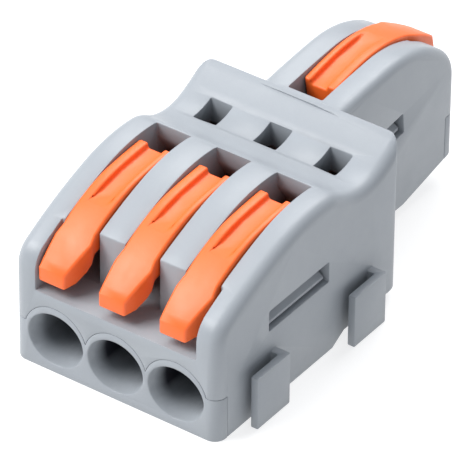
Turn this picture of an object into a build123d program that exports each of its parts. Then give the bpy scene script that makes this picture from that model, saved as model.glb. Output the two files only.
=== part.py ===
from build123d import *
import os
from math import asin, cos, degrees, radians, sin

# Lever wire connector: three wire ports and levers at the front, one port and lever on a
# narrow tail at the rear, all joined inside by one copper bar.
#
# Frame: X across, Y from the front (three ports) to the rear (one port), Z up, millimetres.
# The origin is the middle of the footprint, on the surface that the connector stands on.
#
# Everything that belongs to one wire is drawn in that wire's own pole plane: its first
# coordinate runs inwards from the mouth of the port, its second runs up, and its normal
# runs across the wire. The rear pole plane faces the other way and leans back by tilt.

# ---------------------------------------------------------------- overall sizes
length = 38.8            # front face to rear face
main_length = 23.5       # three-pole body, front to back
pitch = 5.47             # wire to wire
tilt = 6.0               # degrees that the rear pole leans back
hood_height = 13.8       # ridge behind the front levers
tail_height = 14.5       # top of the tail
body_front_height = 8.3  # where the front face turns into the hood
tail_end_height = 9.3    # where the rear face turns into the tail's hood
ridge_in = 14.2          # the ridge, the valley behind it and the ramp, from the front face
ridge_end = 15.6
valley_in = 18.2
ramp_in = 20.8
ramp_rise = 0.45         # rear edge of the body above the ridge
tail_overlap = 0.4       # the tail is joined this far inside the body

# ---------------------------------------------------------------- walls and gaps
end_wall = 1.2           # front and rear plates
floor_height = 1.0       # inside floor above the standing face
slot_width = 3.1         # slot that a lever lies in
web = 0.56               # cover web that carries a trunnion beside an outer slot
tongue = 0.6             # thickness of the base's latch tongues
side_skin = 1.12         # side wall of the three-pole body outside the tongues
tail_skin = 1.09         # the same on the tail
fit_gap = 0.1            # side clearance of a lever in its slot
wire_wall = 1.2          # walls between the front wires
bar_rib = 1.0            # ribs that hold the bar down

# ---------------------------------------------------------------- wire ports
wire_height = 2.96       # wire axis above the pole's zero line
bore_diameter = 4.1
mouth_width = 5.05
mouth_height = 4.5
funnel_depth = 1.2
sleeve_end = 3.9         # depth of the bored block behind the plate
boss_radius = 2.85       # rounded shoulder of the base around each port
shoulder_height = 3.75   # top of the base's front plate beside the bosses
tail_shoulder = 5.8      # the same at the rear

# ---------------------------------------------------------------- ledge, slots, windows
ledge_height = 6.83      # shelf under the lever tips
ledge_thickness = 1.2
rib_front = 3.4          # where the ribs between the levers begin
bay_gap = 0.17           # beside the finger ends of the outer levers, in the bay over the ledge
tail_bay_end = 3.6       # the tail's bay ends here, from the rear lever's zero line
shelf_end = 7.3          # inner end of the shelf under a lever
window_end = 14.8        # rear edge of the opening behind a lever
hollow_end = 18.0        # inner end of the space that a lever's nose sweeps
hollow_top = 10.6
heel_room_in = 15.9      # the ridge is hollowed under here for the lever's heel
heel_room_top = 12.5
test_window_start = 18.6
test_window_end = 20.9
test_window_width = 2.0
valley_depth = 1.45

# ---------------------------------------------------------------- underside
step_start = 14.6        # the standing face ends here and the underside rises
step_end = 16.1
step_height = 0.8
tail_rise_start = 32.0   # the tail's underside rises from here to the rear face
tail_rise = 2.2

# ---------------------------------------------------------------- latches
latch_start = 6.35
latch_end = 13.95
latch_bottom = 6.5
latch_top = 8.3
latch_side_gap = 0.25
nose_reach = 0.75
nose_height = 0.85
tongue_margin = 0.45     # tongue beyond each end of the latch window
tongue_clearance = 0.15  # above the top of a tongue

# ---------------------------------------------------------------- lever and pivot
pivot_in = 10.4
pivot_up = 8.6
trunnion_diameter = 2.0
trunnion_clearance = 0.05
trunnion_length = 0.45
trunnion_end_gap = 0.05
hub_radius = 1.75
lever_tip_bottom = 7.7
lever_tip_top = 8.95
lever_tip_in = 0.15
paddle_flare = 0.18      # the finger end is this much wider on each side, in front of the ribs
paddle_end = 2.3
neck_start = 3.1
lever_heel_in = 12.5
lever_heel_top = 13.55
tip_taper_length = 2.3
tip_taper = 0.9
recess_start = 4.2
recess_depth = 0.4
recess_rim = 0.6
recess_shift = -0.12     # towards the side with the finger relief
cheek = 0.6              # thickness of the two cam cheeks
cam_gap = 0.2            # between the cam nose and the open clamp leg
cam_nose_radius = 0.7
rear_lever_lift = 5.5    # degrees that the rear lever stands higher when closed
rear_lever_out = 1.3     # its pivot lies this much nearer to its port

# ---------------------------------------------------------------- copper bar
bar_thickness = 0.8
bar_bottom = 4.2
bar_front = 16.4         # cross piece, front edge from the front face
bar_back = 20.4
bar_overhang = 1.73      # cross piece beyond the middle of the outer wires
finger_width = 1.5
finger_tip = 7.2

# ---------------------------------------------------------------- clamp springs
strip = 0.35
spring_width = 2.6
bend_in = 6.2            # centre of the bend, from the mouth
bend_radius = 0.4        # inside radius of the bend
bend_from = 170          # degrees: the fixed part of the bend starts here, low enough for the wire
leg_length = 4.9
leg_root_radius = 0.32
leg_gap = 0.06           # between the closed leg and the bar
riser_in = 14.2          # upright that holds the spring against the bar

# ---------------------------------------------------------------- side hooks
hook_gap = 0.62
hook_plate = 0.65
hook_height = 4.6
hook_length = 4.1
hook_web = 0.75
right_hook_starts = (3.2, 15.6)

# ---------------------------------------------------------------- edge radii
shoulder_radius = 1.4
top_radius = 1.0
tail_radius = 0.8

# ---------------------------------------------------------------- how far the cuts run out
above = 20.0
below = -1.0
outside = -3.0

# ---------------------------------------------------------------- what follows from them
front_y = -length / 2
rear_y = length / 2
lean = radians(tilt)
bar_middle = bar_bottom + bar_thickness / 2
bar_join = (length - bar_back - bar_middle * sin(lean)) / cos(lean)
rear_lift = bar_middle + bar_join * sin(lean) - bar_middle * cos(lean)
tongue_in = slot_width / 2 + web
tongue_out = tongue_in + tongue
hollow_width = 2 * (pitch + tongue_out)
width = hollow_width + 2 * side_skin         # three-pole body, without the side hooks: 18.6
tail_width = 2 * (tongue_out + tail_skin)    # 7.6
lever_width = slot_width - 2 * fit_gap
paddle_width = lever_width + 2 * paddle_flare
tail_bay_width = paddle_width + 2 * bay_gap
bay_width = 2 * pitch + tail_bay_width
bar_width = 2 * (pitch + bar_overhang)
bend_up = floor_height + strip + bend_radius
leg_reach = bar_bottom - leg_gap - strip / 2 - bend_up
leg_rise = degrees(asin(leg_reach / leg_length))
cam_reach = pivot_up - (bend_up + strip / 2) - cam_gap

side = Plane(origin=(0, front_y, 0), x_dir=(0, 1, 0), z_dir=(1, 0, 0))
rear_pole = Plane(
    origin=(0, rear_y, rear_lift), x_dir=(0, -cos(lean), -sin(lean)), z_dir=(-1, 0, 0)
)


def front_pole(x):
    """The pole plane of the front wire at x."""
    return Plane(origin=(x, front_y, 0), x_dir=(0, 1, 0), z_dir=(1, 0, 0))


def across(pole, inward, up=0.0):
    """A plane that looks inwards along a pole, at a depth from the mouth."""
    return Plane(
        origin=pole.from_local_coords(Vector(inward, up, 0)),
        x_dir=-pole.z_dir,
        z_dir=pole.x_dir,
    )


def tail_point(inward, up):
    """A point of the rear pole plane, as distance from the front face and height."""
    return (
        length - inward * cos(lean) - up * sin(lean),
        rear_lift - inward * sin(lean) + up * cos(lean),
    )


def tail_level(y, up):
    """The same, for the point that is up in the rear pole and y from the front face."""
    return tail_point((length - y - up * sin(lean)) / cos(lean), up)


def slab(points, plane, half, mode=Mode.ADD):
    """A straight-edged outline, made solid by half on both sides of its plane."""
    with BuildSketch(plane) as outline:
        with BuildLine():
            Polyline(*points, close=True)
        make_face()
    extrude(outline.sketch, amount=half, both=True, mode=mode)


def block(x, y, z, mode=Mode.ADD):
    """A box between two limits each way; y counts from the front face."""
    with Locations(Location(((x[0] + x[1]) / 2, front_y + (y[0] + y[1]) / 2, (z[0] + z[1]) / 2))):
        Box(x[1] - x[0], y[1] - y[0], z[1] - z[0], mode=mode)


def arc_chain(points, heading):
    """Arcs through the points, each leaving in the direction in which the last one ended."""
    for start, end in zip(points, points[1:]):
        arc = TangentArc(start, end, tangent=heading)
        heading = arc % 1


def turned(pole, degrees_open):
    """A pole plane turned about the lever's pivot, towards open."""
    turn = radians(degrees_open)
    x_dir = pole.x_dir * cos(turn) - pole.y_dir * sin(turn)
    y_dir = pole.x_dir * sin(turn) + pole.y_dir * cos(turn)
    pivot = pole.from_local_coords(Vector(pivot_in, pivot_up, 0))
    return Plane(origin=pivot - x_dir * pivot_in - y_dir * pivot_up, x_dir=x_dir, z_dir=pole.z_dir)


def save(part, name):
    """Label a finished piece and write it."""
    part.label = name
    export_step(part, f"parts/{name}.step")


front_poles = {
    "left": front_pole(-pitch),
    "middle": front_pole(0),
    "right": front_pole(pitch),
}
poles = {**front_poles, "rear": rear_pole}
# The rear lever and its slot lie further out than its wire and spring.
lever_slots = {
    **front_poles,
    "rear": Plane(
        origin=rear_pole.from_local_coords(Vector(-rear_lever_out, 0, 0)),
        x_dir=rear_pole.x_dir,
        z_dir=rear_pole.z_dir,
    ),
}

lever_planes = {**front_poles, "rear": turned(lever_slots["rear"], rear_lever_lift)}

os.makedirs("parts", exist_ok=True)

# ================================================================ housing cover
# The hood's outline, from the front face over the ridge and the valley to the rear face.
hood_line = [
    (0, body_front_height),
    (1.2, hood_height - 3.5),
    (8.6, hood_height - 0.5),
    (ridge_in, hood_height),
    (ridge_end, hood_height - 0.5),
    (valley_in, hood_height - valley_depth),
    (ramp_in, hood_height - valley_depth + 0.4),
    (main_length, hood_height + ramp_rise),
]
tail_line = [
    (length, tail_end_height),
    (length - 1.2, tail_height - 2.6),
    (length - 4.2, tail_height - 0.8),
    (length - 9.0, tail_height),
    (main_length - tail_overlap, hood_height + ramp_rise - 0.25),
]

with BuildPart() as main_body:
    with BuildSketch(side):
        with BuildLine():
            arc_chain(hood_line, (0, 1))
            Polyline(
                hood_line[-1],
                (main_length, step_height),
                (step_end, step_height),
                (step_start, 0),
                (0, 0),
                hood_line[0],
            )
        make_face()
    extrude(amount=width / 2, both=True)
    outline = main_body.faces().filter_by(Axis.X).edges().filter_by(
        lambda edge: edge.geom_type != GeomType.LINE or edge.center().Y < front_y + 0.1
    ).filter_by(lambda edge: edge.center().Z > step_height + 0.1)
    fillet(outline, top_radius)
    # The rear corners are round in plan; the top's rear edge has only a small radius.
    with BuildSketch(Plane(origin=(0, front_y + main_length / 2, below))) as plan:
        Rectangle(width, main_length)
        fillet(plan.vertices().group_by(Axis.Y)[-1], shoulder_radius)
    extrude(amount=above - below, mode=Mode.INTERSECT)
with BuildPart() as tail_body:
    with BuildSketch(side):
        with BuildLine():
            arc_chain(tail_line, (0, 1))
            Polyline(
                tail_line[-1],
                (main_length - tail_overlap, step_height),
                (tail_rise_start, step_height),
                (length, tail_rise),
                tail_line[0],
            )
        make_face()
    extrude(amount=tail_width / 2, both=True)
    outline = tail_body.faces().filter_by(Axis.X).edges().filter_by(
        lambda edge: edge.center().Z > tail_rise + 0.1
        and edge.center().Y > front_y + main_length
    )
    fillet(outline, tail_radius)

# The outline of the space behind each lever: its slot, the opening behind it and the
# hollow in which its cam nose swings.
slot_outline = [
    (outside, ledge_height),
    (shelf_end, ledge_height),
    (shelf_end, ledge_height - ledge_thickness - 0.6),
    (hollow_end, ledge_height - ledge_thickness - 0.6),
    (hollow_end, hollow_top),
    (heel_room_in, hollow_top),
    (window_end, heel_room_top),
    (window_end, above),
    (outside, above),
]
under_ledge = ledge_height - ledge_thickness
bar_room = bar_front - 0.4
latch_outline = [
    (latch_start, latch_bottom),
    (latch_end, latch_bottom),
    (latch_end, latch_top),
    (latch_start, latch_top),
]
tongue_start = latch_start - tongue_margin
tongue_end = latch_end + tongue_margin
pocket_outline = [
    (tongue_start, 0),
    (tongue_end, 0),
    (tongue_end, latch_top + tongue_clearance),
    (tongue_start, latch_top + tongue_clearance),
]
# The inside of the tail, under its ledge.
tail_inner = length - end_wall
tail_outer = main_length - end_wall
tail_hollow = [
    tail_level(tail_inner, under_ledge),
    tail_level(tail_outer, under_ledge),
    (tail_outer, below),
    (tail_inner, below),
]


def port_plate(half, side_height, bottom, wires, mode):
    """The base's end plate for some wires: a low bar with a round boss at each port."""
    face_y = wires[0].origin.Y
    with BuildSketch(Plane(origin=(0, face_y, 0), x_dir=(1, 0, 0), z_dir=(0, -1, 0))) as plate:
        with Locations((0, (bottom + side_height) / 2)):
            Rectangle(2 * half, side_height - bottom)
        for pole in wires:
            centre = pole.from_local_coords(Vector(0, wire_height, 0))
            with Locations((centre.X, centre.Z)):
                Circle(boss_radius)
    extrude(plate.sketch, amount=-end_wall if face_y < 0 else end_wall, mode=mode)


with BuildPart() as housing_cover:
    add(main_body.part)
    add(tail_body.part)
    # Space inside, open at the bottom for the base.
    hollow = (-hollow_width / 2, hollow_width / 2)
    block(hollow, (end_wall, bar_room), (below, under_ledge), Mode.SUBTRACT)
    block(hollow, (bar_room, main_length - end_wall), (below, hollow_top), Mode.SUBTRACT)
    slab(tail_hollow, side, tongue_out, Mode.SUBTRACT)
    # Room for the base's end plates.
    port_plate(width / 2, shoulder_height, below, list(front_poles.values()), Mode.SUBTRACT)
    port_plate(tail_width / 2, tail_shoulder, below, [rear_pole], Mode.SUBTRACT)
    # Slots, the bay in front of the ribs, and the trunnion sockets.
    socket_depth = lever_width / 2 + trunnion_length + trunnion_end_gap
    for pole in lever_slots.values():
        slab(slot_outline, pole, slot_width / 2, Mode.SUBTRACT)
        with BuildSketch(pole):
            with Locations((pivot_in, pivot_up)):
                Circle(trunnion_diameter / 2 + trunnion_clearance)
        extrude(amount=socket_depth, both=True, mode=Mode.SUBTRACT)
    bay = (-bay_width / 2, bay_width / 2)
    block(bay, (outside, rib_front), (ledge_height, above), Mode.SUBTRACT)
    tail_bay = [
        (outside, ledge_height),
        (tail_bay_end, ledge_height),
        (tail_bay_end, above),
        (outside, above),
    ]
    slab(tail_bay, lever_slots["rear"], tail_bay_width / 2, Mode.SUBTRACT)
    # Test openings over the bar.
    for x in (-pitch, 0, pitch):
        block(
            (x - test_window_width / 2, x + test_window_width / 2),
            (test_window_start, test_window_end),
            (bar_bottom, above),
            Mode.SUBTRACT,
        )
    # Latch windows and the pockets for the tongues, on both sides of the body and the tail.
    for pole, middle, half in (
        (side, pitch, width / 2),
        (rear_pole, 0, tail_width / 2),
    ):
        for hand in (-1, 1):
            skin = pole.offset(hand * (middle + (tongue_out + half - middle) / 2))
            slab(latch_outline, skin, (half - middle - tongue_out) / 2 + 0.01, Mode.SUBTRACT)
            pocket = pole.offset(hand * (middle + (tongue_in + tongue_out) / 2))
            slab(pocket_outline, pocket, tongue / 2, Mode.SUBTRACT)
    # A rib on each side of the middle wire that holds the bar down.
    for x in (-pitch / 2, pitch / 2):
        block(
            (x - bar_rib / 2, x + bar_rib / 2),
            (bar_front + 1, bar_back - 1),
            (bar_bottom + bar_thickness, hollow_top),
        )
    # Hooks that join connectors side by side: plates off the wall, open to the front on the
    # right and to the rear on the left.
    inner = width / 2 + hook_gap
    outer = inner + hook_plate
    for start in right_hook_starts:
        end = start + hook_length
        block((inner, outer), (start, end), (0, hook_height))
        block((width / 2, inner), (end - hook_web, end), (0, hook_height))
        left = start - hook_web
        block((-outer, -inner), (left, left + hook_length), (0, hook_height))
        block((-inner, -width / 2), (left, left + hook_web), (0, hook_height))

save(housing_cover.part, "housing_cover")

# ================================================================ housing base
floor_outline = [
    (end_wall, 0),
    (step_start, 0),
    (step_end, step_height),
    (main_length - end_wall, step_height),
    (main_length - end_wall, step_height + floor_height),
    (step_end, step_height + floor_height),
    (step_start, floor_height),
    (end_wall, floor_height),
]
tail_floor_outline = [
    tail_level(tail_inner, floor_height),
    tail_level(tail_outer, floor_height),
    (tail_outer, step_height),
    (tail_rise_start, step_height),
    (length, tail_rise),
    (tail_inner, tail_rise),
]
sleeve_outline = [
    (end_wall, floor_height),
    (sleeve_end, floor_height),
    (sleeve_end, under_ledge),
    (end_wall, under_ledge),
]
tail_sleeve_outline = [
    tail_level(tail_inner, floor_height),
    tail_level(tail_inner, under_ledge),
    tail_point(sleeve_end, under_ledge),
    tail_point(sleeve_end, floor_height),
]
tongue_outline = [
    (tongue_start, floor_height),
    (tongue_end, floor_height),
    (tongue_end, latch_top),
    (tongue_start, latch_top),
]
nose_top = latch_bottom + latch_side_gap + nose_height

with BuildPart() as housing_base:
    port_plate(width / 2, shoulder_height, 0, list(front_poles.values()), Mode.ADD)
    fillet(housing_base.edges().filter_by(Axis.Z).group_by(Axis.Y)[0], top_radius)
    port_plate(tail_width / 2, tail_shoulder, step_height, [rear_pole], Mode.ADD)
    fillet(housing_base.edges().filter_by(Axis.Z).group_by(Axis.Y)[-1], tail_radius)
    slab(floor_outline, side, hollow_width / 2)
    slab(tail_floor_outline, side, tongue_out)
    slab(
        [
            (tail_rise_start, step_height),
            (length, tail_rise),
            (length + 1, below),
            (tail_rise_start, below),
        ],
        side,
        tail_width,
        Mode.SUBTRACT,
    )
    slab(sleeve_outline, side, hollow_width / 2)
    slab(tail_sleeve_outline, side, tongue_out)
    # Walls between the front wires, and posts under the bar.
    for x in (-pitch / 2, pitch / 2):
        wall = (x - wire_wall / 2, x + wire_wall / 2)
        block(wall, (sleeve_end, step_start), (floor_height, under_ledge))
        block(wall, (bar_front + 0.6, bar_back - 0.6), (step_height + floor_height, bar_bottom))
    # Latch tongues with their noses.
    for pole, middle in ((side, pitch), (rear_pole, 0)):
        for hand in (-1, 1):
            tongue_plane = pole.offset(hand * (middle + (tongue_in + tongue_out) / 2))
            slab(tongue_outline, tongue_plane, tongue / 2)
            root = hand * (middle + tongue_out)
            with BuildSketch(across(pole, latch_start + latch_side_gap)):
                with BuildLine():
                    Polyline(
                        (root, latch_bottom + latch_side_gap),
                        (root + hand * nose_reach, latch_bottom + latch_side_gap),
                        (root + hand * nose_reach, latch_bottom + latch_side_gap + 0.25),
                        (root, nose_top),
                        close=True,
                    )
                make_face()
            extrude(amount=latch_end - latch_start - 2 * latch_side_gap)
    # Ports: a funnel into a round bore.
    for pole in poles.values():
        mouth = across(pole, -0.6, wire_height)
        throat = across(pole, funnel_depth, wire_height)
        with BuildSketch(mouth):
            Ellipse(
                mouth_width / 2 + (mouth_width - bore_diameter) / 4,
                mouth_height / 2 + (mouth_height - bore_diameter) / 4,
            )
        with BuildSketch(throat):
            Circle(bore_diameter / 2)
        loft(mode=Mode.SUBTRACT)
        with BuildSketch(across(pole, funnel_depth - 0.01, wire_height)):
            Circle(bore_diameter / 2)
        extrude(amount=sleeve_end - funnel_depth + 0.01, mode=Mode.SUBTRACT)

save(housing_base.part, "housing_base")

# ================================================================ copper bar
with BuildPart() as bus_bar:
    bar_levels = (bar_bottom, bar_bottom + bar_thickness)
    block((-bar_width / 2, bar_width / 2), (bar_front, bar_back), bar_levels)
    for x in (-pitch, 0, pitch):
        block((x - finger_width / 2, x + finger_width / 2), (finger_tip, bar_front), bar_levels)
    slab(
        [
            (finger_tip, bar_bottom),
            (bar_join + bar_thickness / 2, bar_bottom),
            (bar_join + bar_thickness / 2, bar_bottom + bar_thickness),
            (finger_tip, bar_bottom + bar_thickness),
        ],
        rear_pole,
        finger_width / 2,
    )

save(bus_bar.part, "bus_bar")

# ================================================================ clamp springs
for name, pole in poles.items():
    with BuildPart() as spring:
        # Foot along the floor, upright against the bar, and the round of the bend.
        slab(
            [
                (bend_in, floor_height),
                (riser_in + strip, floor_height),
                (riser_in + strip, floor_height + strip),
                (bend_in, floor_height + strip),
            ],
            pole,
            spring_width / 2,
        )
        slab(
            [
                (riser_in, floor_height),
                (riser_in + strip, floor_height),
                (riser_in + strip, bar_bottom),
                (riser_in, bar_bottom),
            ],
            pole,
            finger_width / 2,
        )
        with BuildSketch(pole):
            with BuildLine():
                CenterArc((bend_in, bend_up), bend_radius + strip, bend_from, 270 - bend_from)
                CenterArc((bend_in, bend_up), bend_radius, bend_from, 270 - bend_from)
                Line((bend_in, floor_height), (bend_in, floor_height + strip))
                Line(
                    (
                        bend_in + (bend_radius + strip) * cos(radians(bend_from)),
                        bend_up + (bend_radius + strip) * sin(radians(bend_from)),
                    ),
                    (
                        bend_in + bend_radius * cos(radians(bend_from)),
                        bend_up + bend_radius * sin(radians(bend_from)),
                    ),
                )
            make_face()
        extrude(amount=spring_width / 2, both=True)
    save(spring.part, f"spring_root_{name}")

    # The clamping leg, which turns about the middle of the bend.
    leg_direction = Vector(cos(radians(leg_rise)), sin(radians(leg_rise)), 0)
    leg_plane = Plane(
        origin=pole.from_local_coords(Vector(bend_in, bend_up, 0)),
        x_dir=pole.x_dir * leg_direction.X + pole.y_dir * leg_direction.Y,
        z_dir=pole.z_dir,
    )
    with BuildPart() as leg:
        with BuildSketch(leg_plane):
            Circle(leg_root_radius)
            with Locations((leg_length / 2, 0)):
                Rectangle(leg_length, strip)
        extrude(amount=spring_width / 2, both=True)
    save(leg.part, f"clamp_leg_{name}")

# ================================================================ levers

for name, pole in lever_planes.items():
    with BuildPart() as lever:
        with BuildSketch(pole):
            with BuildLine():
                crown_line = [
                    (lever_tip_in, lever_tip_top),
                    (2.5, lever_tip_top + 2.05),
                    (5.0, lever_tip_top + 3.45),
                    (8.8, lever_heel_top - 0.2),
                    (lever_heel_in, lever_heel_top),
                ]
                arc_chain(crown_line, (1, 1.05))
                Polyline(
                    crown_line[-1],
                    (lever_heel_in, pivot_up),
                    (pivot_in, pivot_up - hub_radius + 0.3),
                    (pivot_in - hub_radius, pivot_up),
                    (shelf_end, pivot_up + 0.9),
                    (4.4, pivot_up + 1.3),
                    (2.9, pivot_up + 1.0),
                    (2.1, lever_tip_bottom + 0.9),
                    (1.2, lever_tip_bottom + 0.2),
                    (lever_tip_in, lever_tip_bottom),
                    crown_line[0],
                )
            make_face()
            with Locations((pivot_in, pivot_up)):
                Circle(hub_radius)
        extrude(amount=paddle_width / 2, both=True)
        # Finger relief at one front corner, and the narrower neck that lies in the slot.
        plan = Plane(origin=pole.origin, x_dir=pole.x_dir, z_dir=pole.y_dir)
        with BuildSketch(plan):
            with BuildLine():
                Polyline(
                    (lever_tip_in, -paddle_width / 2 + tip_taper),
                    (lever_tip_in + tip_taper_length, -paddle_width / 2),
                    (lever_tip_in + tip_taper_length, -paddle_width),
                    (-1, -paddle_width),
                    (-1, -paddle_width / 2 + tip_taper),
                    close=True,
                )
            make_face()
            for hand in (-1, 1):
                with BuildLine():
                    Polyline(
                        (paddle_end, hand * paddle_width / 2),
                        (neck_start, hand * lever_width / 2),
                        (length / 2, hand * lever_width / 2),
                        (length / 2, hand * paddle_width),
                        (paddle_end, hand * paddle_width),
                        close=True,
                    )
                make_face()
        extrude(amount=above, mode=Mode.SUBTRACT)
        # Shallow recess in the back half of the top, with a wider rim on the left.
        with BuildSketch(pole.offset(-recess_shift)):
            with BuildLine():
                Polyline(
                    (recess_start, lever_tip_top + 3.4),
                    (6.5, lever_heel_top - 0.6 - recess_depth),
                    (9.0, lever_heel_top - 0.2 - recess_depth),
                    (lever_heel_in + 1, lever_heel_top - recess_depth),
                    (lever_heel_in + 1, lever_heel_top + 2),
                    (recess_start, lever_heel_top + 2),
                    close=True,
                )
            make_face()
        extrude(amount=lever_width / 2 - recess_rim + recess_shift, both=True, mode=Mode.SUBTRACT)
        # Cam cheeks on both sides of the bar, and the trunnions.
        for hand in (-1, 1):
            cheek_plane = pole.offset(hand * (lever_width - cheek) / 2)
            with BuildSketch(cheek_plane):
                with Locations((pivot_in, pivot_up)):
                    Circle(hub_radius)
                with Locations((pivot_in + cam_reach - cam_nose_radius, pivot_up)):
                    Circle(cam_nose_radius)
                make_hull()
            extrude(amount=cheek / 2, both=True)
        with BuildSketch(pole):
            with Locations((pivot_in, pivot_up)):
                Circle(trunnion_diameter / 2)
        extrude(amount=lever_width / 2 + trunnion_length, both=True)
    save(lever.part, f"lever_{name}")
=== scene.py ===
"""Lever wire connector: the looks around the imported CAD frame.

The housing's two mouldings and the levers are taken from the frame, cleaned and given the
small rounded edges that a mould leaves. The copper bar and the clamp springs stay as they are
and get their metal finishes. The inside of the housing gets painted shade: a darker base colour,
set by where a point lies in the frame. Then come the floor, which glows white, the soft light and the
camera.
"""

import logging
import math
from dataclasses import dataclass
from enum import Enum
from typing import Any

import bpy
from mathutils import Matrix, Vector

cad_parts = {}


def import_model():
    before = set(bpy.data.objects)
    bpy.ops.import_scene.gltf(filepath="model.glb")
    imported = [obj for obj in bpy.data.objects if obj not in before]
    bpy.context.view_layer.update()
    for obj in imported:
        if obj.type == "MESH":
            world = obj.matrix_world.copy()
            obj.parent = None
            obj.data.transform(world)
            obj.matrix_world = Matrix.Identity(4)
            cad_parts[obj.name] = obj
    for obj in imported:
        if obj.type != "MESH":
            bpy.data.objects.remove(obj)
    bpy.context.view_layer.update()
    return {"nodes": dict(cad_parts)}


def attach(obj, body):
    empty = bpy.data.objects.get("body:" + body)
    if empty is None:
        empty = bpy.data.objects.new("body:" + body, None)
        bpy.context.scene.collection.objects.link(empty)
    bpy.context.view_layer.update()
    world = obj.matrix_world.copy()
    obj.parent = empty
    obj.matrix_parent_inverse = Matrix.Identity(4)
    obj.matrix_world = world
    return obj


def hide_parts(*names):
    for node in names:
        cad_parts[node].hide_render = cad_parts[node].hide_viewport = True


LOG = logging.getLogger("connector")
MM = 0.001
PLASTIC_IOR = 1.5

# How the frame's loose triangles are joined, and where shading breaks at an edge.
MERGE_M = 2e-6
FLAT_DEGREES = 0.8
SMOOTH_DEGREES = 40


class Pole(Enum):
    """The four wires of the connector, named by where their lever is."""

    LEFT = "left"
    MIDDLE = "middle"
    RIGHT = "right"
    REAR = "rear"


class Slot(Enum):
    """The record's material slots."""

    HOUSING = "housing"
    LEVER = "lever"
    COPPER = "copper"
    SPRING = "spring_steel"


def linear(red: float, green: float, blue: float) -> tuple[float, float, float, float]:
    """Turn a colour as a monitor shows it into the shader's linear colour.

    Args:
        red: Red from 0 to 255.
        green: Green from 0 to 255.
        blue: Blue from 0 to 255.

    Returns:
        Linear red, green and blue from 0 to 1, and an alpha of 1.
    """

    def channel(value: float) -> float:
        """One channel on the sRGB curve."""
        share = value / 255
        return share / 12.92 if share <= 0.04045 else ((share + 0.055) / 1.055) ** 2.4

    return channel(red), channel(green), channel(blue), 1.0


# ------------------------------------------------------------------ shader graph


class Signal:
    """A number that varies over a surface: a node's output that understands arithmetic."""

    def __init__(self, graph: "Graph", socket: bpy.types.NodeSocket) -> None:
        """Remember the graph and the output socket that carries the number."""
        self.graph = graph
        self.socket = socket

    def _math(self, operation: str, left: Any, right: Any) -> "Signal":
        """Add one Math node.

        Args:
            operation: The Math node's operation.
            left: A number or a signal.
            right: A number or a signal.

        Returns:
            The result as a new signal.
        """
        node = self.graph.node("ShaderNodeMath", {"operation": operation}, {0: left, 1: right})
        return Signal(self.graph, node.outputs[0])

    def __add__(self, other: Any) -> "Signal":
        """self + other."""
        return self._math("ADD", self, other)

    __radd__ = __add__

    def __mul__(self, other: Any) -> "Signal":
        """self * other."""
        return self._math("MULTIPLY", self, other)

    __rmul__ = __mul__

    def __sub__(self, other: Any) -> "Signal":
        """self - other."""
        return self._math("SUBTRACT", self, other)

    def __rsub__(self, other: Any) -> "Signal":
        """other - self."""
        return self._math("SUBTRACT", other, self)

    def between(self, low: float, high: float) -> "Signal":
        """Stretch the range low to high over 0 to 1, and cut off what lies outside.

        Args:
            low: The value that becomes 0.
            high: The value that becomes 1.

        Returns:
            The stretched signal.
        """
        node = self.graph.node(
            "ShaderNodeMapRange", {"clamp": True}, {0: self, 1: low, 2: high, 3: 0.0, 4: 1.0}
        )
        return Signal(self.graph, node.outputs[0])


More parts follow.
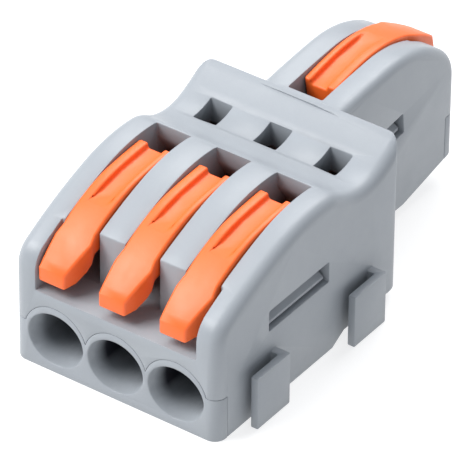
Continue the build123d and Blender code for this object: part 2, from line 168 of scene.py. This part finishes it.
class Graph:
    """A material's node tree, built one node at a time."""

    def __init__(self, name: str) -> None:
        """Start an empty material.

        Args:
            name: The material's name.
        """
        self.material = bpy.data.materials.new(name)
        self.material.use_nodes = True
        self.tree = self.material.node_tree
        self.tree.nodes.clear()
        self.output = self.tree.nodes.new("ShaderNodeOutputMaterial")

    def node(
        self, kind: str, settings: dict[str, Any] | None = None, inputs: dict[Any, Any] | None = None
    ) -> bpy.types.Node:
        """Add a node.

        Args:
            kind: The node's type.
            settings: Its settings, set before its sockets.
            inputs: Values, signals or sockets by input name or number.

        Returns:
            The new node.
        """
        made = self.tree.nodes.new(kind)
        for key, value in (settings or {}).items():
            setattr(made, key, value)
        for key, value in (inputs or {}).items():
            socket = made.inputs[key]
            if isinstance(value, Signal):
                self.tree.links.new(value.socket, socket)
            elif isinstance(value, bpy.types.NodeSocket):
                self.tree.links.new(value, socket)
            else:
                socket.default_value = value
        return made

    def noise(self, size_mm: float, detail: float = 2.0, rough: float = 0.5) -> Signal:
        """A cloudy pattern fixed to the object.

        Args:
            size_mm: About how wide one cloud is.
            detail: How many finer layers it has.
            rough: How strong the finer layers are.

        Returns:
            The pattern, from 0 to 1.
        """
        place = self.node("ShaderNodeTexCoord").outputs["Object"]
        node = self.node(
            "ShaderNodeTexNoise",
            {"noise_dimensions": "3D"},
            {"Vector": place, "Scale": 1.0 / (size_mm * MM), "Detail": detail, "Roughness": rough},
        )
        return Signal(self, node.outputs["Fac"])

    def place(self) -> tuple[Signal, Signal, Signal]:
        """Where a surface point lies in the frame.

        Returns:
            Its x, y and z in metres.
        """
        place = self.node("ShaderNodeTexCoord").outputs["Object"]
        parts = self.node("ShaderNodeSeparateXYZ", {}, {0: place}).outputs
        return Signal(self, parts["X"]), Signal(self, parts["Y"]), Signal(self, parts["Z"])

    def box(self, low_mm: tuple[float, ...], high_mm: tuple[float, ...], soft_mm: float) -> Signal:
        """A box in the frame with soft faces.

        Args:
            low_mm: Its lowest corner.
            high_mm: Its highest corner.
            soft_mm: How deep inside its faces it is full.

        Returns:
            1 well inside the box and 0 outside it.
        """
        inside: Any = 1.0
        for part, low, high in zip(self.place(), low_mm, high_mm):
            rising = part.between(low * MM, (low + soft_mm) * MM)
            falling = part.between((high - soft_mm) * MM, high * MM)
            inside = rising * (1.0 - falling) * inside
        return inside

    def mix(self, amount: Any, low: tuple, high: tuple) -> bpy.types.NodeSocket:
        """Blend two colours.

        Args:
            amount: 0 for low, 1 for high.
            low: First colour, or a socket.
            high: Second colour, or a socket.

        Returns:
            The blended colour's socket.
        """
        node = self.node(
            "ShaderNodeMix", {"data_type": "RGBA"}, {"Factor": amount, 6: low, 7: high}
        )
        return node.outputs[2]

    def bump(self, height: Signal, depth_mm: float, under: bpy.types.NodeSocket | None = None) -> Any:
        """Raise or sink the surface by a pattern.

        Args:
            height: The pattern, from 0 to 1.
            depth_mm: The height between 0 and 1.
            under: The normal of a coarser bump to add this one to.

        Returns:
            The normal's socket.
        """
        inputs = {"Height": height, "Strength": 1.0, "Distance": depth_mm * MM}
        if under is not None:
            inputs["Normal"] = under
        return self.node("ShaderNodeBump", {}, inputs).outputs["Normal"]

    def surface(self, inputs: dict[str, Any]) -> bpy.types.Material:
        """Finish with a Principled shader.

        Args:
            inputs: Its sockets.

        Returns:
            The finished material.
        """
        shader = self.node("ShaderNodeBsdfPrincipled", {}, inputs)
        self.tree.links.new(shader.outputs[0], self.output.inputs["Surface"])
        return self.material


@dataclass(frozen=True)
class MouldedPlastic:
    """Injection-moulded plastic with a fine eroded grain, a faint unevenness, and painted shade: a
    darker base colour inside the given boxes.
    """

    name: str
    colour: tuple[float, float, float]
    shade: tuple[float, float, float]
    roughness: float = 0.42
    specular: float = 0.42
    grain_mm: float = 0.11
    grain_depth_mm: float = 0.006
    wave_mm: float = 2.6
    wave_depth_mm: float = 0.02
    cloud_mm: float = 7.0
    speck_mm: float = 0.35
    speck_share: float = 0.3
    rub_mm: float = 1.6
    rub_spread: float = 0.10
    # Painted shade: a darker base colour put inside the boxes below, standing in for the little light
    # inside the housing.
    painted_shade_colour: tuple[float, float, float] | None = None
    painted_shade_boxes: tuple[tuple[tuple[float, ...], tuple[float, ...], float], ...] = ()

    def material(self) -> bpy.types.Material:
        """Build the material."""
        graph = Graph(self.name)
        cloud = graph.noise(self.cloud_mm, 3.0).between(0.3, 0.7)
        speck = graph.noise(self.speck_mm, 2.0, 0.6).between(0.25, 0.75)
        mottle = cloud * (1 - self.speck_share) + speck * self.speck_share
        tone = graph.mix(mottle, linear(*self.shade), linear(*self.colour))
        # Painted shade: inside each box the base colour turns darker, where the housing's hollows lie
        # in shade.
        for low, high, soft in self.painted_shade_boxes:
            tone = graph.mix(graph.box(low, high, soft), tone, linear(*self.painted_shade_colour))
        rubbed = graph.noise(self.rub_mm, 4.0, 0.65).between(0.35, 0.75)
        wave = graph.bump(graph.noise(self.wave_mm, 1.0), self.wave_depth_mm)
        grain = graph.bump(graph.noise(self.grain_mm, 2.0, 0.6), self.grain_depth_mm, wave)
        return graph.surface(
            {
                "Base Color": tone,
                "Roughness": self.roughness - self.rub_spread / 2 + rubbed * self.rub_spread,
                "IOR": PLASTIC_IOR,
                "Specular IOR Level": self.specular,
                "Normal": grain,
            }
        )


@dataclass(frozen=True)
class RolledMetal:
    """Metal strip or bar with a fine rolled texture along the wire."""

    name: str
    colour: tuple[float, float, float]
    tarnish: tuple[float, float, float]
    roughness: float = 0.28
    streak_stretch: float = 0.05
    streak_scale: float = 9000.0
    streak_spread: float = 0.15
    streak_depth_mm: float = 0.004
    stain_mm: float = 1.8

    def material(self) -> bpy.types.Material:
        """Build the material."""
        graph = Graph(self.name)
        place = graph.node("ShaderNodeTexCoord").outputs["Object"]
        stretch = (1.0, self.streak_stretch, 1.0)
        along = graph.node("ShaderNodeMapping", {}, {"Vector": place, "Scale": stretch})
        lines = graph.node(
            "ShaderNodeTexNoise",
            {},
            {"Vector": along.outputs[0], "Scale": self.streak_scale, "Detail": 3.0},
        )
        streak = Signal(graph, lines.outputs["Fac"])
        stain = graph.noise(self.stain_mm, 4.0, 0.6).between(0.4, 0.7)
        return graph.surface(
            {
                "Base Color": graph.mix(stain, linear(*self.colour), linear(*self.tarnish)),
                "Metallic": 1.0,
                "Roughness": self.roughness + streak * self.streak_spread,
                "Normal": graph.bump(streak, self.streak_depth_mm),
            }
        )


# The boxes are the wire spaces and the hollow under the windows. They are given a darker base
# colour, which stands in for the little light that a deep hollow gets.
HOUSING_GREY = MouldedPlastic(
    "housing_grey",
    (151, 156, 161),
    (146, 151, 157),
    painted_shade_colour=(34, 35, 42),
    painted_shade_boxes=(
        ((-8.1, -18.9, 1.0), (8.1, 3.4, 6.2), 1.2),
        ((-8.1, -6.6, 1.0), (8.1, 3.0, 12.6), 2.6),
        ((-3.2, 3.0, 1.9), (3.2, 18.9, 7.0), 0.8),
    ),
)
LEVER_ORANGE = MouldedPlastic(
    "lever_orange", (244, 106, 40), (241, 100, 34), roughness=0.46, specular=0.5, grain_mm=0.16
)
COPPER = RolledMetal("bright_copper", (226, 158, 118), (176, 108, 78))
SPRING_STEEL = RolledMetal("spring_steel", (196, 198, 202), (160, 162, 168), roughness=0.22)


# ------------------------------------------------------------------ modelling helpers


def only(piece: bpy.types.Object) -> None:
    """Select one object and nothing else, and make it active."""
    bpy.ops.object.select_all(action="DESELECT")
    piece.select_set(True)
    bpy.context.view_layer.objects.active = piece


def apply_modifiers(piece: bpy.types.Object) -> None:
    """Apply all of a piece's modifiers in order."""
    only(piece)
    for modifier in list(piece.modifiers):
        bpy.ops.object.modifier_apply(modifier=modifier.name)


@dataclass
class Moulding:
    """A piece of the frame, cleaned of its loose triangles and given rounded edges."""

    node: str
    body: str
    slot: Slot
    finish: bpy.types.Material
    edge_mm: float = 0.14
    rings: int = 2
    sharp_from: float = 32.0

    def build(self) -> bpy.types.Object:
        """Make the rounded piece, dress it and let it ride on its body.

        Returns:
            The finished piece.
        """
        source = bpy.data.objects[self.node]
        piece = bpy.data.objects.new(f"{self.node}_moulded", source.data.copy())
        bpy.context.scene.collection.objects.link(piece)
        only(piece)
        bpy.ops.object.mode_set(mode="EDIT")
        bpy.ops.mesh.select_all(action="SELECT")
        bpy.ops.mesh.customdata_custom_splitnormals_clear()
        bpy.ops.mesh.remove_doubles(threshold=MERGE_M)
        bpy.ops.mesh.dissolve_limited(angle_limit=math.radians(FLAT_DEGREES))
        bpy.ops.object.mode_set(mode="OBJECT")
        bevel = piece.modifiers.new("mould_edge", "BEVEL")
        bevel.width = self.edge_mm * MM
        bevel.segments = self.rings
        bevel.limit_method = "ANGLE"
        bevel.angle_limit = math.radians(self.sharp_from)
        bevel.use_clamp_overlap = False
        bevel.miter_outer = "MITER_ARC"
        apply_modifiers(piece)
        bpy.ops.object.shade_smooth_by_angle(angle=math.radians(SMOOTH_DEGREES))
        piece.data.materials.clear()
        piece.data.materials.append(self.finish)
        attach(piece, self.body)
        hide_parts(self.node)
        return piece


# ------------------------------------------------------------------ the connector


@dataclass
class Housing:
    """The cover with its hooks and tail, and the base that clicks into it."""

    finish: bpy.types.Material
    cover_edge_mm: float = 0.10
    base_edge_mm: float = 0.06
    sharp_from: float = 50.0

    def build(self) -> list[bpy.types.Object]:
        """Make both mouldings.

        Returns:
            The cover and the base.
        """
        return [
            Moulding(
                "housing_cover",
                "housing",
                Slot.HOUSING,
                self.finish,
                self.cover_edge_mm,
                sharp_from=self.sharp_from,
            ).build(),
            Moulding("housing_base", "housing", Slot.HOUSING, self.finish, self.base_edge_mm).build(),
        ]


@dataclass
class Levers:
    """The four levers."""

    finish: bpy.types.Material
    edge_mm: float = 0.20
    rings: int = 3
    sharp_from: float = 50.0

    def build(self) -> list[bpy.types.Object]:
        """Make each lever.

        Returns:
            The levers, in the order of the poles.
        """
        return [
            Moulding(
                f"lever_{pole.value}",
                f"lever_{pole.value}",
                Slot.LEVER,
                self.finish,
                self.edge_mm,
                self.rings,
                self.sharp_from,
            ).build()
            for pole in Pole
        ]


@dataclass
class Contacts:
    """The copper bar and the clamp springs, which keep the frame's own shape."""

    copper: bpy.types.Material
    steel: bpy.types.Material

    def dress(self, nodes: dict[str, bpy.types.Object]) -> list[bpy.types.Object]:
        """Give the metal parts their finishes.

        Args:
            nodes: The frame's nodes by name.

        Returns:
            The dressed nodes.
        """
        dressed = []
        for name, node in sorted(nodes.items()):
            finish = None
            if name == "bus_bar":
                finish = self.copper
            elif name.startswith(("spring_root_", "clamp_leg_")):
                finish = self.steel
            if finish is not None:
                node.data.materials.clear()
                node.data.materials.append(finish)
                dressed.append(node)
        return dressed


# ------------------------------------------------------------------ the studio


@dataclass
class Camera:
    """A long lens in front of the ports, to their right and above them."""

    aim_mm: tuple[float, float, float] = (-1.443, -2.337, 4.389)
    azimuth: float = 35.290
    elevation: float = 35.728
    roll: float = 0.577
    distance_mm: float = 418.3
    lens: float = 426.28
    sensor: float = 36.0
    clip_m: tuple[float, float] = (0.01, 10.0)

    def build(self) -> bpy.types.Object:
        """Place the camera and make it the scene's."""
        turn, rise = math.radians(self.azimuth), math.radians(self.elevation)
        back = Vector(
            (math.sin(turn) * math.cos(rise), -math.cos(turn) * math.cos(rise), math.sin(rise))
        )
        right = Vector((math.cos(turn), math.sin(turn), 0.0))
        up = back.cross(right)
        lean = math.radians(self.roll)
        right, up = (
            right * math.cos(lean) + up * math.sin(lean),
            up * math.cos(lean) - right * math.sin(lean),
        )
        place = (Vector(self.aim_mm) + back * self.distance_mm) * MM
        data = bpy.data.cameras.new("camera")
        data.lens = self.lens
        data.sensor_width = self.sensor
        data.clip_start, data.clip_end = self.clip_m
        camera = bpy.data.objects.new("camera", data)
        bpy.context.scene.collection.objects.link(camera)
        axes = Matrix((right, up, back)).transposed()
        camera.matrix_world = Matrix.Translation(place) @ axes.to_4x4()
        bpy.context.scene.camera = camera
        return camera


@dataclass(frozen=True)
class Softbox:
    """One square light that looks at the connector."""

    name: str
    place_mm: tuple[float, float, float]
    size_mm: float
    watts: float

    def build(self) -> bpy.types.Object:
        """Place the light."""
        data = bpy.data.lights.new(self.name, "AREA")
        data.size = self.size_mm * MM
        data.energy = self.watts
        lamp = bpy.data.objects.new(self.name, data)
        bpy.context.scene.collection.objects.link(lamp)
        lamp.location = Vector(self.place_mm) * MM
        lamp.rotation_euler = (-lamp.location).to_track_quat("-Z", "Y").to_euler()
        return lamp


@dataclass
class Studio:
    """The floor, a mid-grey sheet that glows white, with the even sky and the softboxes."""

    sky: float = 0.46
    tint: tuple[float, float, float, float] = (0.94, 0.98, 1.05, 1.0)
    floor_glow: float = 0.72
    floor_size_m: float = 6.0
    floor_drop_m: float = 0.00002
    floor_greys: tuple[float, float] = (0.37, 0.39)
    floor_cloud_mm: float = 40.0
    boxes: tuple[Softbox, ...] = (
        Softbox("key_light", (-200, -190, 330), 240, 2.1),
        Softbox("back_light", (-90, 270, 400), 320, 2.0),
    )

    def floor(self) -> bpy.types.Object:
        """Lay the glowing floor."""
        bpy.ops.object.select_all(action="DESELECT")
        bpy.ops.mesh.primitive_plane_add(size=self.floor_size_m, location=(0, 0, -self.floor_drop_m))
        floor = bpy.context.active_object
        floor.name = "floor"
        graph = Graph("pale_floor")
        dark, pale = ((grey, grey, grey, 1) for grey in self.floor_greys)
        tone = graph.mix(graph.noise(self.floor_cloud_mm), dark, pale)
        paper = graph.surface(
            {
                "Base Color": tone,
                "Roughness": 0.9,
                "Emission Color": (1.0, 1.0, 1.0, 1.0),
                "Emission Strength": self.floor_glow,
            }
        )
        floor.data.materials.append(paper)
        return floor

    def build(self) -> None:
        """Build floor, sky and lights."""
        self.floor()
        world = bpy.data.worlds.new("sky")
        world.use_nodes = True
        world.node_tree.nodes["Background"].inputs["Color"].default_value = self.tint
        world.node_tree.nodes["Background"].inputs["Strength"].default_value = self.sky
        bpy.context.scene.world = world
        bpy.context.scene.view_settings.view_transform = "Standard"
        for box in self.boxes:
            box.build()


def main() -> None:
    """Load the frame, build the looks, the studio and the camera."""
    logging.basicConfig(level=logging.INFO, format="%(name)s: %(message)s")
    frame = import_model()
    bpy.ops.object.select_all(action="DESELECT")
    pieces = Housing(HOUSING_GREY.material()).build()
    pieces += Levers(LEVER_ORANGE.material()).build()
    pieces += Contacts(COPPER.material(), SPRING_STEEL.material()).dress(frame["nodes"])
    for piece in pieces:
        LOG.info("%s: %d faces", piece.name, len(piece.data.polygons))
    Studio().build()
    Camera().build()


if __name__ == "__main__":
    main()
